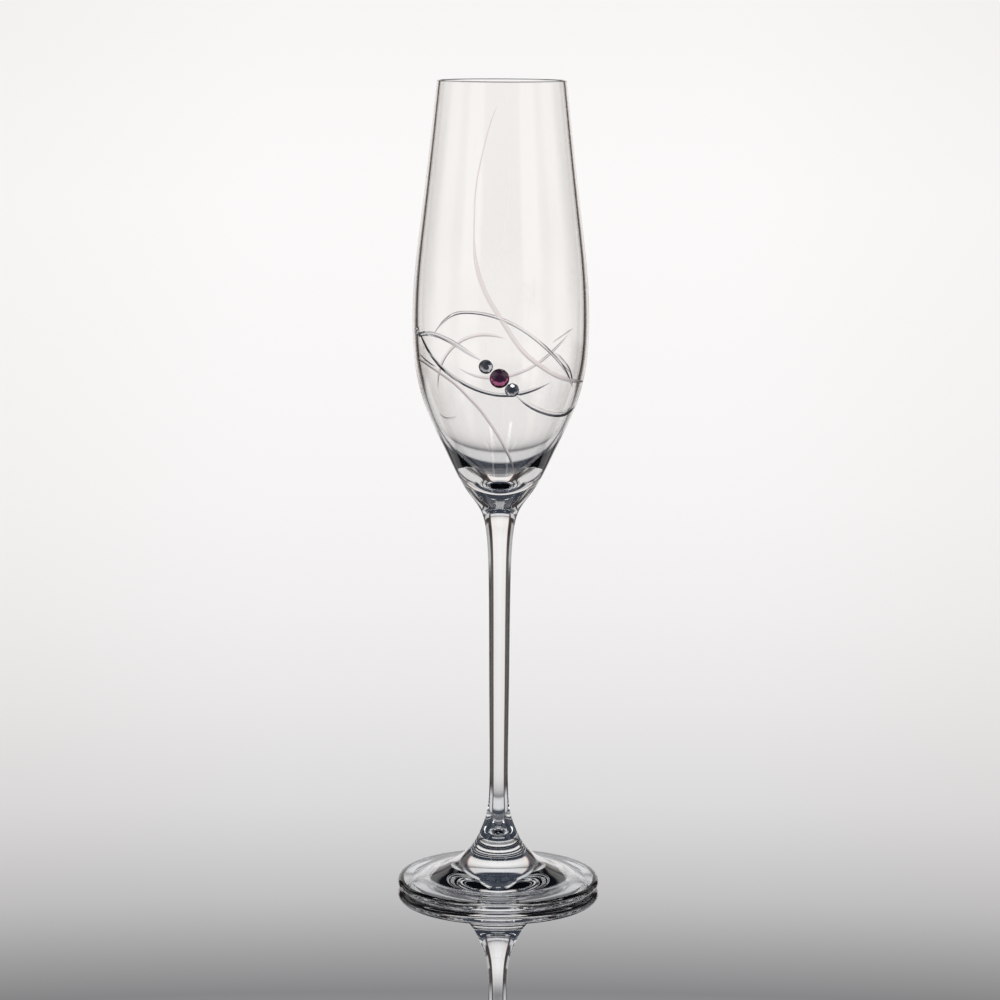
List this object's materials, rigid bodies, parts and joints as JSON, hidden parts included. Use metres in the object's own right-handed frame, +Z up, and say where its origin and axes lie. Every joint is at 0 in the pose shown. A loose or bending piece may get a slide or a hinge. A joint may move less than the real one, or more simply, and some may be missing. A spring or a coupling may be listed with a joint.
{
  "type": "champagne flute",
  "caption": "Tall stemmed champagne flute in clear crystal, with a cut decoration round the bowl and faceted stones set into its wall.",
  "frame": {"origin": "centre of the plane that the foot stands on", "axes": "+Z up along the stem to the rim; the group of three stones faces -Y and the single small stone is on the -X side"},
  "size_m": [0.0628, 0.0628, 0.25],
  "materials": {
    "bowl_glass": "fire-polished clear crystal glass",
    "stem_glass": "drawn clear crystal glass",
    "foot_glass": "pressed and fire-polished clear crystal glass",
    "clear_stone": "faceted and polished clear crystal",
    "fuchsia_stone": "faceted and polished fuchsia crystal",
    "mirror_foil": "silvered back of a stone",
    "clear_adhesive": "cured clear adhesive"
  },
  "bodies": {
    "root": {"bowl": "bowl_glass", "stem": "stem_glass", "foot": "foot_glass", "fuchsia_crystal": "fuchsia_stone", "fuchsia_foil": "mirror_foil", "fuchsia_adhesive": "clear_adhesive", "upper_clear_crystal": "clear_stone", "upper_clear_foil": "mirror_foil", "upper_clear_adhesive": "clear_adhesive", "lower_clear_crystal": "clear_stone", "lower_clear_foil": "mirror_foil", "lower_clear_adhesive": "clear_adhesive", "side_clear_crystal": "clear_stone", "side_clear_foil": "mirror_foil", "side_clear_adhesive": "clear_adhesive"}
  },
  "joints": []
}
